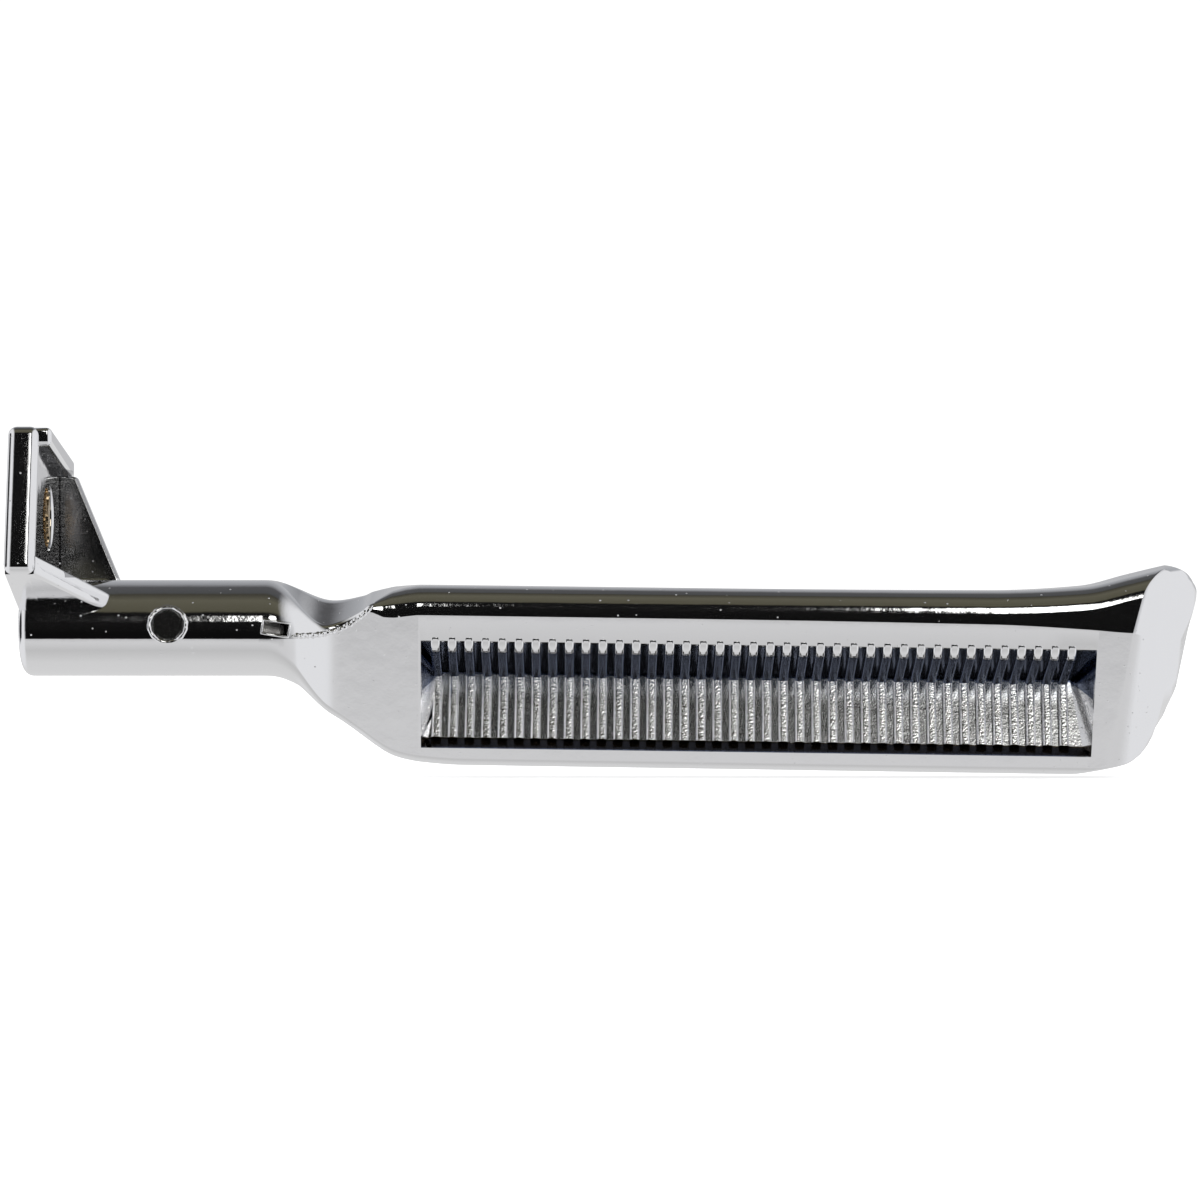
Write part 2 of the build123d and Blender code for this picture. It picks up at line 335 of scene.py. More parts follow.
def prism(name, outline, place):
    """A closed prism: an outline of points in millimetres, at two places given by place(point, end)."""
    return ring_piece(name, [[place(p, end) for p in outline] for end in (0, 1)])


def finish_piece(piece, material, body, node, angle=30):
    """Brings the piece from millimetres to metres, shades it, ties it to its body, and hides the CAD
    node that it stands in for.
    """
    deselect_all()
    piece.select_set(True)
    bpy.context.view_layer.objects.active = piece
    piece.scale = (MM, MM, MM)
    bpy.ops.object.transform_apply(location=True, rotation=True, scale=True)
    bpy.ops.object.shade_smooth_by_angle(angle=math.radians(angle))
    weights = piece.modifiers.new("Weighted normals", "WEIGHTED_NORMAL")
    weights.keep_sharp = True
    apply_all(piece)
    piece.data.materials.clear()
    piece.data.materials.append(material)
    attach(piece, body)
    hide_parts(node)


# ---- finishes ----

CHROME = (0.90, 0.90, 0.91)
# Shade painted into the plate's colour, zone by zone, each laid over the ones before it: dark blue-grey
# on the pocket's upper flank, dark brown on its sill, grey in the corner behind the crank's ear and warm
# brown in the ear's hole.
PAINTED_SHADE_TINTS = (
    ("upper", (0.17, 0.20, 0.28)), ("sill", (0.12, 0.10, 0.08)),
    ("crank", (0.42, 0.42, 0.43)), ("hole", (0.60, 0.52, 0.41)),
)
# Where shade is painted and the plate is coarser: the pocket's depths and heights, and the corner behind
# the crank's ear as ranges in x, y and z.
POCKET_DEPTHS = (0.35, 8.6)
POCKET_HEIGHTS = (-18.4, -3.4)
CRANK_ZONE = ((EAR_THICK + 0.1, 13.0), (-12.0, 5.0), (6.6, 21.0))
COARSE_ROUGHNESS = 0.08    # added in the pocket and behind the crank
# Bumps: scale, detail, strength, and height in metres.
WAVES = (260.0, 2.0, 0.25, 0.00012)
PITS = (2600.0, 3.0, 0.14, 0.00003)
GRAINS = (3800.0, 2.0, 0.0, 0.00009)
STEEL_GRAIN = (1800.0, 3.0, 0.2, 0.00004)
SPECK_SCALE = 900.0
SPECK_SLOPE = -9.5


def noise_bump(nodes, links, coords, layer, below=None):
    """One layer of bump from noise, laid over the layer below."""
    scale, detail, strength, distance = layer
    noise = nodes.new("ShaderNodeTexNoise")
    noise.inputs["Scale"].default_value = scale
    noise.inputs["Detail"].default_value = detail
    links.new(coords, noise.inputs["Vector"])
    bump = nodes.new("ShaderNodeBump")
    bump.inputs["Strength"].default_value = strength
    bump.inputs["Distance"].default_value = distance
    links.new(noise.outputs["Fac"], bump.inputs["Height"])
    if below is not None:
        links.new(below, bump.inputs["Normal"])
    return bump.outputs["Normal"]


def new_finish(name, colour, metallic, roughness):
    """A plain material, with its nodes, links, shader and object coordinates."""
    material = bpy.data.materials.new(name)
    material.use_nodes = True
    nodes = material.node_tree.nodes
    shader = nodes["Principled BSDF"]
    shader.inputs["Base Color"].default_value = (*colour, 1)
    shader.inputs["Metallic"].default_value = metallic
    shader.inputs["Roughness"].default_value = roughness
    coords = nodes.new("ShaderNodeTexCoord").outputs["Object"]
    return material, nodes, material.node_tree.links, shader, coords


def calculator(nodes, links):
    """Gives a function that adds one math node and returns its output."""

    def calc(operation, a, b=None, c=None):
        node = nodes.new("ShaderNodeMath")
        node.operation = operation
        for k, value in enumerate((a, b, c)):
            if isinstance(value, (int, float)):
                node.inputs[k].default_value = value
            elif value is not None:
                links.new(value, node.inputs[k])
        return node.outputs[0]

    return calc


def laid_over(nodes, links, below, mask, colour):
    """A colour laid over another where the mask is one."""
    node = nodes.new("ShaderNodeMix")
    node.data_type = "RGBA"
    links.new(mask, node.inputs["Factor"])
    if isinstance(below, tuple):
        node.inputs[6].default_value = (*below, 1)
    else:
        links.new(below, node.inputs[6])
    node.inputs[7].default_value = (*colour, 1)
    return node.outputs[2]


def painted_shade_and_coarse_zones(nodes, links, coords, calc):
    """Masks of the zones where shade is painted into the plate's colour, and of the coarse ones that
    could not be polished.
    """

    def along(direction, origin=0.0):
        node = nodes.new("ShaderNodeVectorMath")
        node.operation = "DOT_PRODUCT"
        node.inputs[1].default_value = direction
        links.new(coords, node.inputs[0])
        return calc("MULTIPLY_ADD", node.outputs["Value"], 1 / MM, -origin)

    def inside(value, low, high):
        return calc("MULTIPLY", calc("GREATER_THAN", value, low), calc("LESS_THAN", value, high))

    x, y, z = (along(axis) for axis in ((1, 0, 0), (0, 1, 0), (0, 0, 1)))
    depth = along(DEEP, RIM_ORIGIN.dot(DEEP))
    height = along(UP, RIM_ORIGIN.dot(UP))
    pocket = calc("MULTIPLY", inside(x, POCKET_X[0] - 0.5, POCKET_X[1] + 0.5),
                  calc("MULTIPLY", inside(depth, *POCKET_DEPTHS), inside(height, *POCKET_HEIGHTS)))
    crank = calc("MULTIPLY", inside(x, *CRANK_ZONE[0]),
                 calc("MULTIPLY", inside(z, *CRANK_ZONE[2]), inside(y, *CRANK_ZONE[1])))
    out_y = calc("SUBTRACT", y, HOLE_AT[0])
    out_z = calc("SUBTRACT", z, HOLE_AT[1])
    reach = calc("SQRT", calc("ADD", calc("MULTIPLY", out_y, out_y), calc("MULTIPLY", out_z, out_z)))
    # upper, sill, crank and hole mask the painted shade; coarse marks where the plate is rougher and
    # grainier.
    return {
        "upper": calc("MULTIPLY", pocket, calc("GREATER_THAN", height, VALLEY.y - 0.2)),
        "sill": calc("MULTIPLY", pocket, calc("LESS_THAN", height, SILL.y + 0.1)),
        "crank": crank,
        "hole": calc("MULTIPLY", calc("LESS_THAN", reach, HOLE_R + 0.1),
                     inside(x, 0.3, EAR_THICK - 0.2)),
        "coarse": calc("MAXIMUM", pocket, crank),
    }


def speck_bump(nodes, links, coords, calc, below):
    """Small raised specks in half of the cells of a cell texture, laid over the layer below."""
    cells = nodes.new("ShaderNodeTexVoronoi")
    cells.inputs["Scale"].default_value = SPECK_SCALE
    links.new(coords, cells.inputs["Vector"])
    chance = nodes.new("ShaderNodeSeparateColor")
    links.new(cells.outputs["Color"], chance.inputs[0])
    dot = calc("MAXIMUM", calc("MULTIPLY_ADD", cells.outputs["Distance"], SPECK_SLOPE, 1.0), 0.0)
    dot = calc("MULTIPLY", dot, calc("GREATER_THAN", chance.outputs[0], 0.5))
    specks = nodes.new("ShaderNodeBump")
    specks.inputs["Strength"].default_value = 0.8
    specks.inputs["Distance"].default_value = 0.00012
    links.new(dot, specks.inputs["Height"])
    links.new(below, specks.inputs["Normal"])
    return specks.outputs["Normal"]


def chrome_finish(name, roughness, grain):
    """Plated die casting: bright and a little wavy, pitted where it could not be polished, with painted
    shade darkening its colour in the pocket, behind the crank's ear and in the ear's hole.
    """
    material, nodes, links, shader, coords = new_finish(name, CHROME, 1.0, roughness)
    calc = calculator(nodes, links)
    zones = painted_shade_and_coarse_zones(nodes, links, coords, calc)
    # Painted shade: the plate's colour is darkened zone by zone in the pocket, behind the ear and in the
    # hole.
    colour = CHROME
    for zone, tint in PAINTED_SHADE_TINTS:
        colour = laid_over(nodes, links, colour, zones[zone], tint)
    links.new(colour, shader.inputs["Base Color"])
    rougher = calc("MULTIPLY_ADD", zones["coarse"], COARSE_ROUGHNESS, roughness)
    links.new(rougher, shader.inputs["Roughness"])
    waves = noise_bump(nodes, links, coords, WAVES)
    pits = noise_bump(nodes, links, coords, PITS, waves)
    grains = noise_bump(nodes, links, coords, GRAINS, pits)
    links.new(calc("MULTIPLY", zones["coarse"], grain), grains.node.inputs["Strength"])
    links.new(speck_bump(nodes, links, coords, calc, grains), shader.inputs["Normal"])
    return material


def steel_finish(name, colour, roughness):
    """Bare turned steel with a fine grain."""
    material, nodes, links, shader, coords = new_finish(name, colour, 1.0, roughness)
    links.new(noise_bump(nodes, links, coords, STEEL_GRAIN), shader.inputs["Normal"])
    return material


# ---- the casting ----



def skin_ring(x):
    """The skin's ring at x: the barrel's circle that turns into the blade's section."""
    ring = blade_ring(x, *spline(SECTIONS, max(x, SECTIONS[0][0])))
    share = min(max((x - BARREL_LEN) / NECK_RUN, 0), 1)
    share = share**3 * (10 - 15 * share + 6 * share**2)
    return [a.lerp(b, share) for a, b in zip(round_ring(x, BARREL_R), ring)]


def tip_limit(point):
    """How far the casting reaches at a point's depth and height: the flat end facet or the outline."""
    depth = (point - RIM_ORIGIN).dot(DEEP)
    facet = CREASE_X + depth * FACET_RUN
    height = min(max(point.z, TIP_OUTLINE[0][0]), TIP_OUTLINE[-1][0])
    edge = spline(TIP_OUTLINE, height)[0]
    soft = max(CREASE_SOFT - abs(facet - edge), 0) / CREASE_SOFT
    return min(facet, edge) - soft * soft * CREASE_SOFT / 4


def tip_sides():
    """Gives a function for the place of a side of the tip, by its number round the ring and its x."""
    stations = [TIP_START + TIP_STEP * n for n in range(TIP_SECTIONS)]
    table = [skin_ring(x) for x in stations]

    def on_side(side, x):
        at = min(int((x - TIP_START) / TIP_STEP), TIP_SECTIONS - 2)
        return table[at][side].lerp(table[at + 1][side], (x - stations[at]) / TIP_STEP)

    return on_side


def side_end(on_side, side):
    """Where a side of the tip stops, one round short of the facet or the outline: found by halving."""
    low, high = TIP_START, TIP_START + TIP_STEP * (TIP_SECTIONS - 1)
    for _ in range(24):
        middle = (low + high) / 2
        if middle < tip_limit(on_side(side, middle)) - TIP_ROUND:
            low = middle
        else:
            high = middle
    return low


def moved_in(point, centre, inward):
    """A point brought towards the tip's centre, in depth and height only."""
    spot = Vector((0, point.y, point.z))
    aim = Vector((0, centre.y, centre.z)) - spot
    return spot + aim * min(inward / aim.length, 1)


def tip_rings():
    """The tip: the blade's sides run out to a rounded edge and close on the end facet."""
    on_side = tip_sides()
    ends = [side_end(on_side, side) for side in range(len(SIDE_NORMALS) * (ARC_STEPS + 1))]
    rings = []
    for n in range(1, 25):
        rings.append([on_side(side, TIP_START + (end - TIP_START) * n / 24)
                      for side, end in enumerate(ends)])
    last = rings[-1]
    centre = blade_point(*TIP_CENTRE)
    for n in range(1, 9):
        turn = math.radians(90 * n / 8)
        spots = [moved_in(point, centre, TIP_ROUND * (1 - math.cos(turn))) for point in last]
        back = TIP_ROUND * (1 - math.sin(turn))
        rings.append([Vector((tip_limit(spot) - back, spot.y, spot.z)) for spot in spots])
    rim = rings[-1]
    for share in (0.95, 0.9, 0.84, 0.76, 0.6, 0.4, 0.2):
        spots = [centre.lerp(point, share) for point in rim]
        rings.append([Vector((tip_limit(spot), spot.y, spot.z)) for spot in spots])
    return rings


def casting_body():
    """Barrel, neck, blade and tip as one closed skin."""
    rings = []
    for n in range(7):
        turn = math.radians(15 * n)
        rings.append(round_ring(BARREL_ROUND * (1 - math.cos(turn)),
                                BARREL_R - BARREL_ROUND * (1 - math.sin(turn))))
    rings += [round_ring(x, BARREL_R) for x in range(3, 31)]
    rings += [skin_ring(BARREL_LEN + NECK_STEP * n) for n in range(NECK_RINGS)]
    rings += [skin_ring(BLADE_START + BLADE_STEP * n) for n in range(BLADE_RINGS)]
    return ring_piece("lever_skin", rings + tip_rings())


def pocket_tool():
    """The finger pocket: two flanks that meet in a valley, a sill, and drafted end walls."""
    profile = [
        (-1.0, POCKET_U[0] + 0.32), (-0.05, POCKET_U[0] + 0.32), (0.02, POCKET_U[0] + 0.14),
        (0.13, POCKET_U[0] + 0.01), (0.32, POCKET_U[0] - 0.12), (VALLEY.x, VALLEY.y),
        (SILL.x, SILL.y), (-1.0, POCKET_U[1] - 0.15),
    ]
    lean = END_DRAFT / VALLEY.x

    def place(p, end):
        draft = lean * p.y
        x = POCKET_X[0] + draft if end == 0 else POCKET_X[1] - draft
        return blade_point(x, p.y, p.x)

    return prism("pocket_tool", [Vector((u, w)) for w, u in profile], place)


def rib_line(stand):
    """The rib's line down both flanks, moved out from them by stand."""
    brow = Vector((0, POCKET_U[0]))
    upper = (VALLEY - brow).normalized()
    lower = (SILL - VALLEY).normalized()
    upper_out = Vector((upper.y, -upper.x))
    lower_out = Vector((lower.y, -lower.x))
    at_rim = brow + upper_out * stand
    at_rim = at_rim - upper * (at_rim.x / upper.x)
    at_valley = VALLEY + (upper_out + lower_out) * (stand / (1 + upper_out.dot(lower_out)))
    at_sill = SILL + lower_out * stand
    return [at_rim, at_valley, at_sill]


def pocket_ribs(stand):
    """All the pocket's ribs: one modelled and the rest copied along the blade."""
    root = rib_line(-0.4)
    crest = rib_line(stand)
    brow = POCKET_U[0] + 0.75
    head = [Vector((0.45, brow)), Vector((-RIB_PROUD, brow)), Vector((-RIB_PROUD, crest[0].y))]
    outline = [*head, crest[1], crest[2], root[2], root[1]]
    half = RIB_WIDTH / 2
    pitch = (RIB_X[1] - RIB_X[0]) / (RIB_COUNT - 1)
    first = prism("pocket_ribs", outline,
                  lambda p, end: blade_point(RIB_X[0] - half + RIB_WIDTH * end, p.x, p.y))
    edge = [head[1], head[2], crest[1], crest[2]]

    def on_crest(middle):
        place = middle - blade_point(RIB_X[0], 0, 0)
        spot = Vector((place.dot(DEEP), place.dot(UP)))
        near = min(abs((spot - a).cross(b - a)) / (b - a).length for a, b in zip(edge, edge[1:]))
        at_head = abs(spot.y - head[1].y) < 0.01 and spot.x < 0
        return near < 0.02 and abs(place.dot(ALONG)) > half * 0.9 or at_head

    soften(first, 0.36, 4, on_crest, 20)
    copies = [first]
    for n in range(1, RIB_COUNT):
        copy = first.copy()
        copy.data = first.data.copy()
        bpy.context.collection.objects.link(copy)
        copy.data.transform(Matrix.Translation(ALONG * pitch * n))
        copies.append(copy)
    return joined(copies)




def across(x_from, x_to):
    """Places an outline of Y and Z between two places along the pivot axis."""
    return lambda p, end: Vector((x_from + (x_to - x_from) * end, p.x, p.y))


def crank_ear():
    """The crank's plate with its thicker top rim and the rod clip's hole."""
    plate = [EAR_FRONT, EAR_BACK, (EAR_BACK[0], 0), (0, 0), EAR_HEEL, EAR_FOOT]
    ear = prism("ear", [Vector(p) for p in plate], across(0.02, EAR_THICK))
    soften(ear, 1.15, 6, lambda m: m.y < 6 and (m.z > 8 or m.y < -4))
    rim = [
        (EAR_FRONT[0] + 0.6, EAR_FRONT[1] - 0.2), (EAR_BACK[0] - 0.05, EAR_BACK[1] - 0.08),
        (EAR_BACK[0] - 0.05, RIM_UNDERSIDE[1] - 0.4), (EAR_FRONT[0] + 0.6, RIM_UNDERSIDE[0] - 0.6),
    ]
    top = prism("rim", [Vector(p) for p in rim], across(1.4, EAR_RIM_X))
    soften(top, 0.7, 5, lambda m: m.x > 3 and m.y < 5)
    combine(ear, top, "UNION")
    wide = HOLE_R + 0.6
    places = [
        (-1, wide), (-0.2, wide), (0.4, HOLE_R),
        (EAR_THICK - 0.4, HOLE_R), (EAR_THICK + 0.2, wide), (12, wide),
    ]
    hole = turned("hole", places, Vector((0, *HOLE_AT)), Vector((1, 0, 0)), Vector((0, 1, 0)))
    combine(ear, hole, "DIFFERENCE")
    return ear


def crank_web():
    """The web behind the ear, with its long sloping edge."""
    outline = [(0.5, 3.0), (0.5, WEB_TOP[1] + 1), (WEB_TOP[0], WEB_TOP[1]), WEB_FOOT, (WEB_FOOT[0], 3.0)]
    web = prism("web", [Vector(p) for p in outline],
                lambda p, end: Vector((p.x, EAR_BACK[0] - WEB_THICK * end, p.y)))
    soften(web, 0.35, 3, lambda m: m.x > 3 and m.z > 5)
    return web


def crank_shelf():
    """The wedge under the ear that carries the crank's foot back to the barrel."""
    foot = (EAR_FOOT[0] + 1.1, EAR_FOOT[1] - 0.42)
    heel = (EAR_HEEL[0], EAR_HEEL[1] + 0.05)
    outline = [
        foot, heel, (0, heel[1]), (0, heel[1] + SHELF_THICK),
        (heel[0], heel[1] + SHELF_THICK), (foot[0], foot[1] + SHELF_THICK),
    ]
    shelf = prism("shelf", [Vector(p) for p in outline], across(0.2, SHELF_TIP_X))
    corners = [(-1, foot[0]), (EAR_THICK + 0.4, foot[0]), (SHELF_TIP_X, heel[0]),
               (SHELF_TIP_X, 1), (-1, 1)]
    keep = prism("keep", [Vector(p) for p in corners],
                 lambda p, end: Vector((p.x, p.y, 20.0 * end)))
    combine(shelf, keep, "INTERSECT")
    soften(shelf, 0.9, 5, lambda m: m.y < -4 and m.x > 3)
    return shelf


def bore_tool():
    """The bore for the pivot post, with a broken edge at its mouth."""
    places = ((-1.0, BORE_R + 0.35), (0.0, BORE_R + 0.35), (0.35, BORE_R), (BORE_DEPTH, BORE_R))
    return turned("bore", places, Vector(), Vector((1, 0, 0)), Vector((0, 1, 0)))


def window_corners(margin):
    """The neck's small window as (x, z) corners, tilted, and wider by a margin on each side."""
    turn = math.radians(WINDOW_TURN)
    wide, tall = WINDOW_HALF[0] + margin, WINDOW_HALF[1] + margin
    return [
        (WINDOW_X + x * math.cos(turn) - z * math.sin(turn), x * math.sin(turn) + z * math.cos(turn))
        for x, z in ((-wide, -tall), (wide, -tall), (wide, tall), (-wide, tall))
    ]


def window_tool():
    """The neck's small window, from its face to the bore."""
    corners = window_corners(0)
    return ring_piece("window", [[Vector((x, y, z)) for x, z in corners] for y in (-9.0, -2.0)])


def pin_seat_tool():
    """The cross pin's hole with its countersunk edge."""
    out = Vector((0, -math.cos(PIN_RISE), math.sin(PIN_RISE)))
    places = ((1.0, PIN_R), (5.75, PIN_R), (6.0, 2.3), (6.3, 2.62), (7.5, 2.75))
    return turned("pin_seat", places, Vector((PIN_X, 0, 0)), out, Vector((1, 0, 0)), 48)


def surface_spot(skin, x, z):
    """Where the skin's finger side is, at a place along the lever and a height."""
    found, spot, normal, _ = skin.ray_cast(Vector((x, -30, z)), Vector((0, 1, 0)))
    if not found:
        raise RuntimeError(f"no skin at {x}, {z}")
    return spot, normal


def bead(name, spots, radii, closed):
    """A thin bead along spots on the skin, each with the skin's normal there."""
    last = len(spots) - 1
    rings = []
    for n, (spot, normal) in enumerate(spots):
        after = (n + 1) % last if closed else min(n + 1, last)
        before = (n - 1) % last if closed else max(n - 1, 0)
        aside = (spots[after][0] - spots[before][0]).cross(normal).normalized()
        angles = [math.radians(36 * k) for k in range(10)]
        rings.append([
            spot + (aside * math.cos(a) + normal * math.sin(a)) * radii[n] for a in angles])
    return ring_piece(name, rings)


def pin_lip(skin):
    """The rough raised lip round the cross pin's seat."""
    centre_z = BARREL_R * math.sin(PIN_RISE)
    spots = []
    for n in range(61):
        a = math.radians(6 * n)
        spots.append(surface_spot(skin, PIN_X + 2.4 * math.cos(a), centre_z + 2.3 * math.sin(a)))
    radii = [0.30 + 0.07 * math.sin(2.1 * n) * math.sin(0.9 * n) for n in range(60)]
    return bead("pin_lip", spots, radii + radii[:1], True)


def window_lip(skin):
    """The raised frame of the neck's small window."""
    corners = window_corners(0.15)
    spots = []
    for (x0, z0), (x1, z1) in zip(corners, corners[1:] + corners[:1]):
        for n in range(8):
            spots.append(surface_spot(skin, x0 + (x1 - x0) * n / 8, z0 + (z1 - z0) * n / 8))
    spots.append(spots[0])
    return bead("window_lip", spots, [0.17] * len(spots), True)


def seam_bead(skin):
    """The rough bead of flash along the neck, from the window to the roll."""
    count = 90
    spots, radii = [], []
    for n in range(count):
        x = SEAM[0][0] + (SEAM[-1][0] - SEAM[0][0]) * n / (count - 1)
        z = spline(SEAM, x)[0] + 0.10 * math.sin(1.3 * n) * math.sin(0.37 * n)
        spots.append(surface_spot(skin, x, z))
        ends = min(1, 0.3 + n / 8, 0.3 + (count - 1 - n) / 8)
        radii.append((0.36 + 0.07 * math.sin(0.6 * n) * math.sin(1.7 * n)) * ends)
    return bead("seam_bead", spots, radii, False)


# ---- the studio ----

# Brightness of what the plate reflects, by the angle above the horizon, from the front over the top.
SURROUNDINGS = [
    (-180, (0.72, 0.72, 0.72)), (-90, (0.68, 0.68, 0.68)), (-55, (0.56, 0.56, 0.56)),
    (-35, (0.66, 0.66, 0.665)), (-30, (0.50, 0.50, 0.505)), (-26, (0.004, 0.004, 0.004)),
    (36, (0.004, 0.004, 0.004)), (41, (0.085, 0.08, 0.055)), (70, (0.11, 0.104, 0.075)),
    (88, (0.05, 0.047, 0.036)), (94, (0.07, 0.072, 0.074)), (116, (0.09, 0.09, 0.094)),
    (130, (0.30, 0.305, 0.32)), (150, (0.42, 0.43, 0.45)), (179, (0.55, 0.55, 0.56)),
]
# Lamps in front: left and right ends as sines across, low and high edges in degrees.
LAMPS = [(-0.099, -0.064, 16, 29), (0.098, 0.30, 16, 27), (0.118, 0.30, 8, 31), (0.138, 0.30, 6, 31)]
LAMP_LIGHT = (3.0, 3.0, 2.9)
SIDE_LIGHT = (0.80, 0.805, 0.82)
LEFT_DARK = (0.03, 0.03, 0.032)
PLAIN_STRENGTH = 1.1
FLOOR_DROP = 0.001         # metres from the lever's lowest point down to the floor
FLOOR_GLOW = 0.45
CAMERA_AT = (76.14, -449.8, 3.70)
CAMERA_WIDTH = 158.8       # millimetres across the view, in the plane of the pivot axis


# ---- what the sidebar offers ----

class LeverSettings(bpy.types.PropertyGroup):
    """Sizes and brightness that are worth changing."""

    rib_stand: bpy.props.FloatProperty(
        name="Rib height", description="How far a rib stands off the pocket",
        default=0.0009, unit="LENGTH")
    plate_roughness: bpy.props.FloatProperty(
        name="Plate roughness", description="Roughness of the polished plate",
        default=0.06, subtype="FACTOR")
    brightness: bpy.props.FloatProperty(
        name="Studio brightness", description="Brightness of what the plate reflects",
        default=1.0, subtype="FACTOR")
    floor_size: bpy.props.FloatProperty(
        name="Floor radius", description="Radius of the floor", default=4.0, unit="LENGTH")


class LEVER_OT_casting(bpy.types.Operator):
    """Models the plated casting"""

    bl_idname = "lever.casting"
    bl_label = "Casting"

    def execute(self, context):
        settings = context.scene.lever
        chrome = chrome_finish("plated_chrome", settings.plate_roughness, 0.1)
        rib_chrome = chrome_finish("ribbed_chrome", settings.plate_roughness, 0.5)
        skin = casting_body()
        context.view_layer.update()
        beads = [pin_lip(skin), window_lip(skin), seam_bead(skin)]
        crank = crank_ear()
        combine(crank, crank_web(), "UNION")
        combine(crank, crank_shelf(), "UNION")
        combine(skin, crank, "UNION")
        bore = bore_tool()
        combine(bore, window_tool(), "UNION")
        combine(bore, pin_seat_tool(), "UNION")
        combine(skin, joined([pocket_tool(), bore]), "DIFFERENCE")
        skin = joined([skin, *beads])
        finish_piece(skin, chrome, "lever", "lever_casting", 45)
        ribs = pocket_ribs(settings.rib_stand / MM)
        finish_piece(ribs, rib_chrome, "lever", "lever_casting", 50)
        return {"FINISHED"}


class LEVER_OT_pivot(bpy.types.Operator):
    """Finishes the pivot post and the cross pin"""

    bl_idname = "lever.pivot"
    bl_label = "Pivot post and pin"

    def execute(self, context):
        for node, colour, roughness in (
            ("pivot_post", (0.42, 0.41, 0.40), 0.35),
            ("retaining_pin", (0.30, 0.30, 0.29), 0.16),
        ):
            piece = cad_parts[node]
            piece.data.materials.clear()
            piece.data.materials.append(steel_finish(node + "_steel", colour, roughness))
        return {"FINISHED"}


def surroundings(nodes, links):
    """The colour that the plate reflects from each direction."""
    calc = calculator(nodes, links)
    split = nodes.new("ShaderNodeSeparateXYZ")
    links.new(nodes.new("ShaderNodeTexCoord").outputs["Generated"], split.inputs[0])
    front = calc("MULTIPLY", split.outputs["Y"], -1.0)
    angle = calc("ARCTAN2", split.outputs["Z"], front)
    ramp = nodes.new("ShaderNodeValToRGB")
    links.new(calc("MULTIPLY_ADD", angle, 1 / (2 * math.pi), 0.5), ramp.inputs[0])
    elements = ramp.color_ramp.elements
    elements.remove(elements[-1])
    for n, (degrees, colour) in enumerate(SURROUNDINGS):
        spot = degrees / 360 + 0.5
        element = elements[0] if n == 0 else elements.new(spot)
        element.position = spot
        element.color = (*colour, 1)

    def fade(value, low, high):
        node = nodes.new("ShaderNodeMapRange")
        node.interpolation_type = "SMOOTHSTEP"
        node.inputs["From Min"].default_value = low
        node.inputs["From Max"].default_value = high
        links.new(value, node.inputs["Value"])
        return node.outputs[0]

    def between(value, low, high, soft):
        above = fade(value, low - soft, low + soft)
        beyond = fade(value, high - soft, high + soft)
        return calc("MULTIPLY", above, calc("SUBTRACT", 1.0, beyond))

    aside = calc("ABSOLUTE", split.outputs["X"])
    sides = calc("MULTIPLY", fade(aside, 0.36, 0.66),
                 calc("SUBTRACT", 1.0, fade(split.outputs["Y"], 0.55, 0.8)))
    light = laid_over(nodes, links, ramp.outputs["Color"], sides, SIDE_LIGHT)
    left_end = calc("MULTIPLY", fade(calc("MULTIPLY", split.outputs["X"], -1.0), 0.90, 0.96),
                    fade(split.outputs["Z"], -0.35, -0.2))
    light = laid_over(nodes, links, light, left_end, LEFT_DARK)
    for left, right, low, high in LAMPS:
        lamp = calc("MULTIPLY", between(split.outputs["X"], left, right, 0.004),
                    between(angle, math.radians(low), math.radians(high), 0.03))
        light = laid_over(nodes, links, light, lamp, LAMP_LIGHT)
    return light


def world_light(brightness):
    """The studio as the plate reflects it, and plain white light on everything else."""
    world = bpy.data.worlds.new("studio")
    bpy.context.scene.world = world
    world.use_nodes = True
    nodes = world.node_tree.nodes
    links = world.node_tree.links
    nodes.clear()
    studio = nodes.new("ShaderNodeBackground")
    studio.inputs["Strength"].default_value = brightness
    links.new(surroundings(nodes, links), studio.inputs["Color"])
    plain = nodes.new("ShaderNodeBackground")
    plain.inputs["Color"].default_value = (1, 1, 1, 1)
    plain.inputs["Strength"].default_value = PLAIN_STRENGTH
    path = nodes.new("ShaderNodeLightPath")
    choose = nodes.new("ShaderNodeMixShader")
    links.new(path.outputs["Is Glossy Ray"], choose.inputs[0])
    links.new(plain.outputs[0], choose.inputs[1])
    links.new(studio.outputs[0], choose.inputs[2])
    output = nodes.new("ShaderNodeOutputWorld")
    links.new(choose.outputs[0], output.inputs["Surface"])


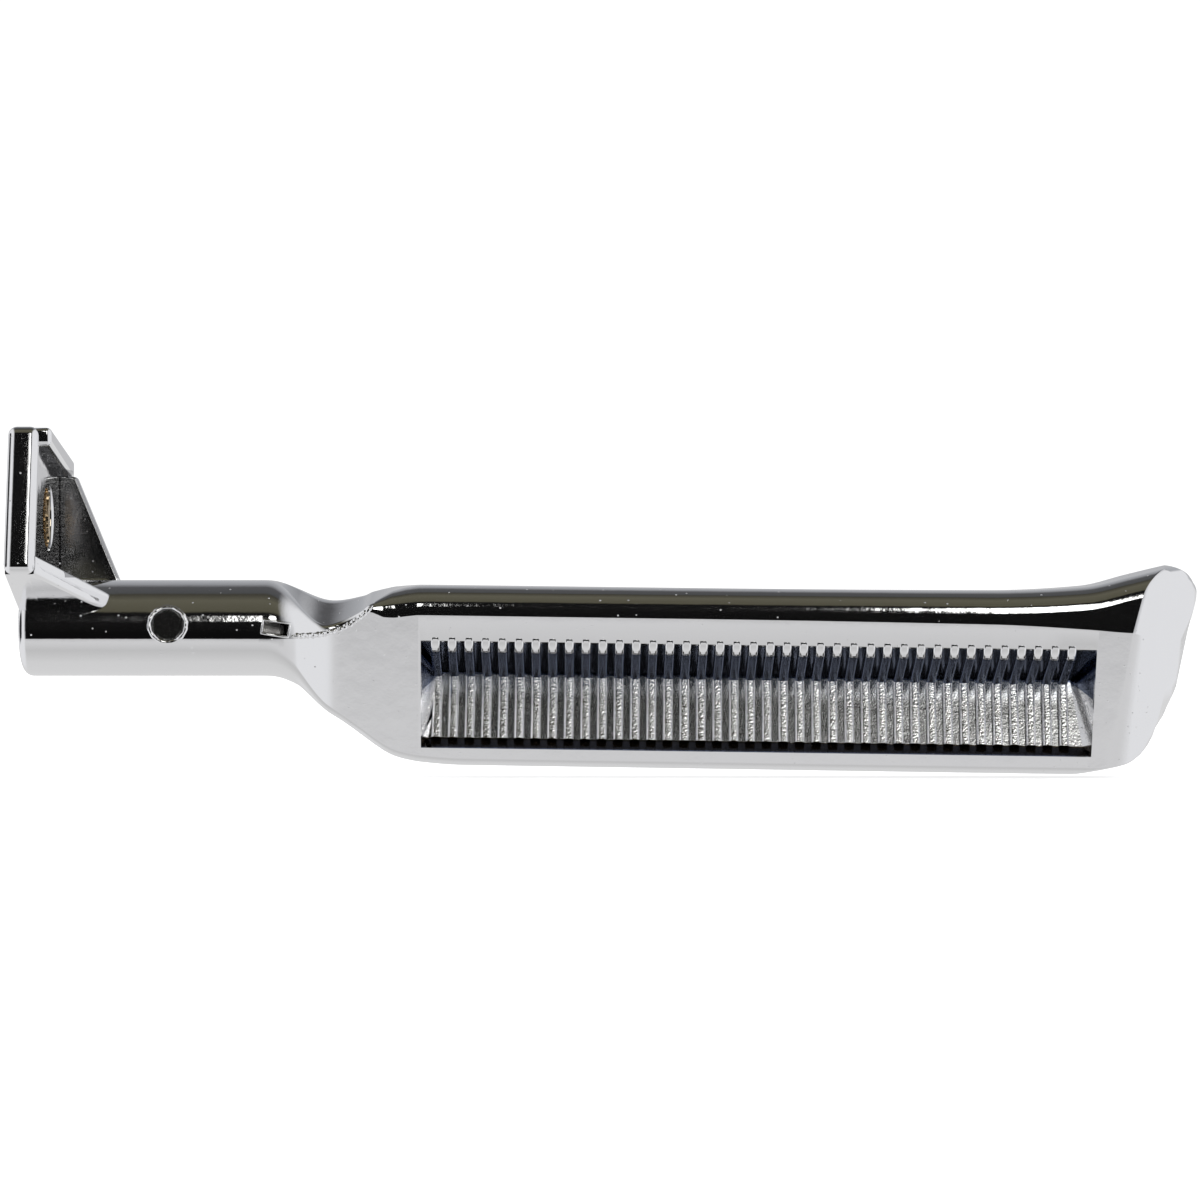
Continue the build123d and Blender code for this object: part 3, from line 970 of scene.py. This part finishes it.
class LEVER_OT_stage(bpy.types.Operator):
    """Sets the floor, the light and the camera"""

    bl_idname = "lever.stage"
    bl_label = "Floor, light and camera"

    def execute(self, context):
        deselect_all()
        low, high = CAD_BOX
        bpy.ops.mesh.primitive_circle_add(
            vertices=96, radius=context.scene.lever.floor_size, fill_type="NGON",
            location=((low.x + high.x) / 2, 0, low.z - FLOOR_DROP))
        floor = bpy.context.object
        floor.name = "floor"
        material, _, _, shader, _ = new_finish("pale_floor", (0.97, 0.97, 0.97), 0.0, 0.9)
        shader.inputs["Specular IOR Level"].default_value = 0.0
        shader.inputs["Emission Color"].default_value = (1, 1, 1, 1)
        shader.inputs["Emission Strength"].default_value = FLOOR_GLOW
        floor.data.materials.append(material)
        floor.visible_glossy = False
        world_light(context.scene.lever.brightness)
        camera = bpy.data.cameras.new("camera")
        camera.sensor_width = 36.0
        camera.angle = 2 * math.atan(CAMERA_WIDTH / 2 / -CAMERA_AT[1])
        camera.clip_start = 0.01
        camera.clip_end = 20.0
        holder = bpy.data.objects.new("camera", camera)
        holder.location = Vector(CAMERA_AT) * MM
        holder.rotation_euler = (math.pi / 2, 0, 0)
        context.scene.collection.objects.link(holder)
        context.scene.camera = holder
        context.scene.view_settings.view_transform = "Standard"
        return {"FINISHED"}


class LEVER_PT_panel(bpy.types.Panel):
    """Shows the lever's settings and the buttons that build it"""

    bl_label = "Release Lever"
    bl_idname = "LEVER_PT_panel"
    bl_space_type = "VIEW_3D"
    bl_region_type = "UI"
    bl_category = "Release Lever"

    def draw(self, context):
        for prop in ("rib_stand", "plate_roughness", "brightness", "floor_size"):
            self.layout.prop(context.scene.lever, prop)
        for operator in OPERATORS:
            self.layout.operator(operator.bl_idname)


OPERATORS = (LEVER_OT_casting, LEVER_OT_pivot, LEVER_OT_stage)
CLASSES = (LeverSettings, *OPERATORS, LEVER_PT_panel)


def register():
    for cls in CLASSES:
        bpy.utils.register_class(cls)
    bpy.types.Scene.lever = bpy.props.PointerProperty(type=LeverSettings)


def unregister():
    del bpy.types.Scene.lever
    for cls in reversed(CLASSES):
        bpy.utils.unregister_class(cls)


def main():
    register()
    bpy.ops.lever.casting()
    bpy.ops.lever.pivot()
    bpy.ops.lever.stage()


if __name__ == "__main__":
    main()
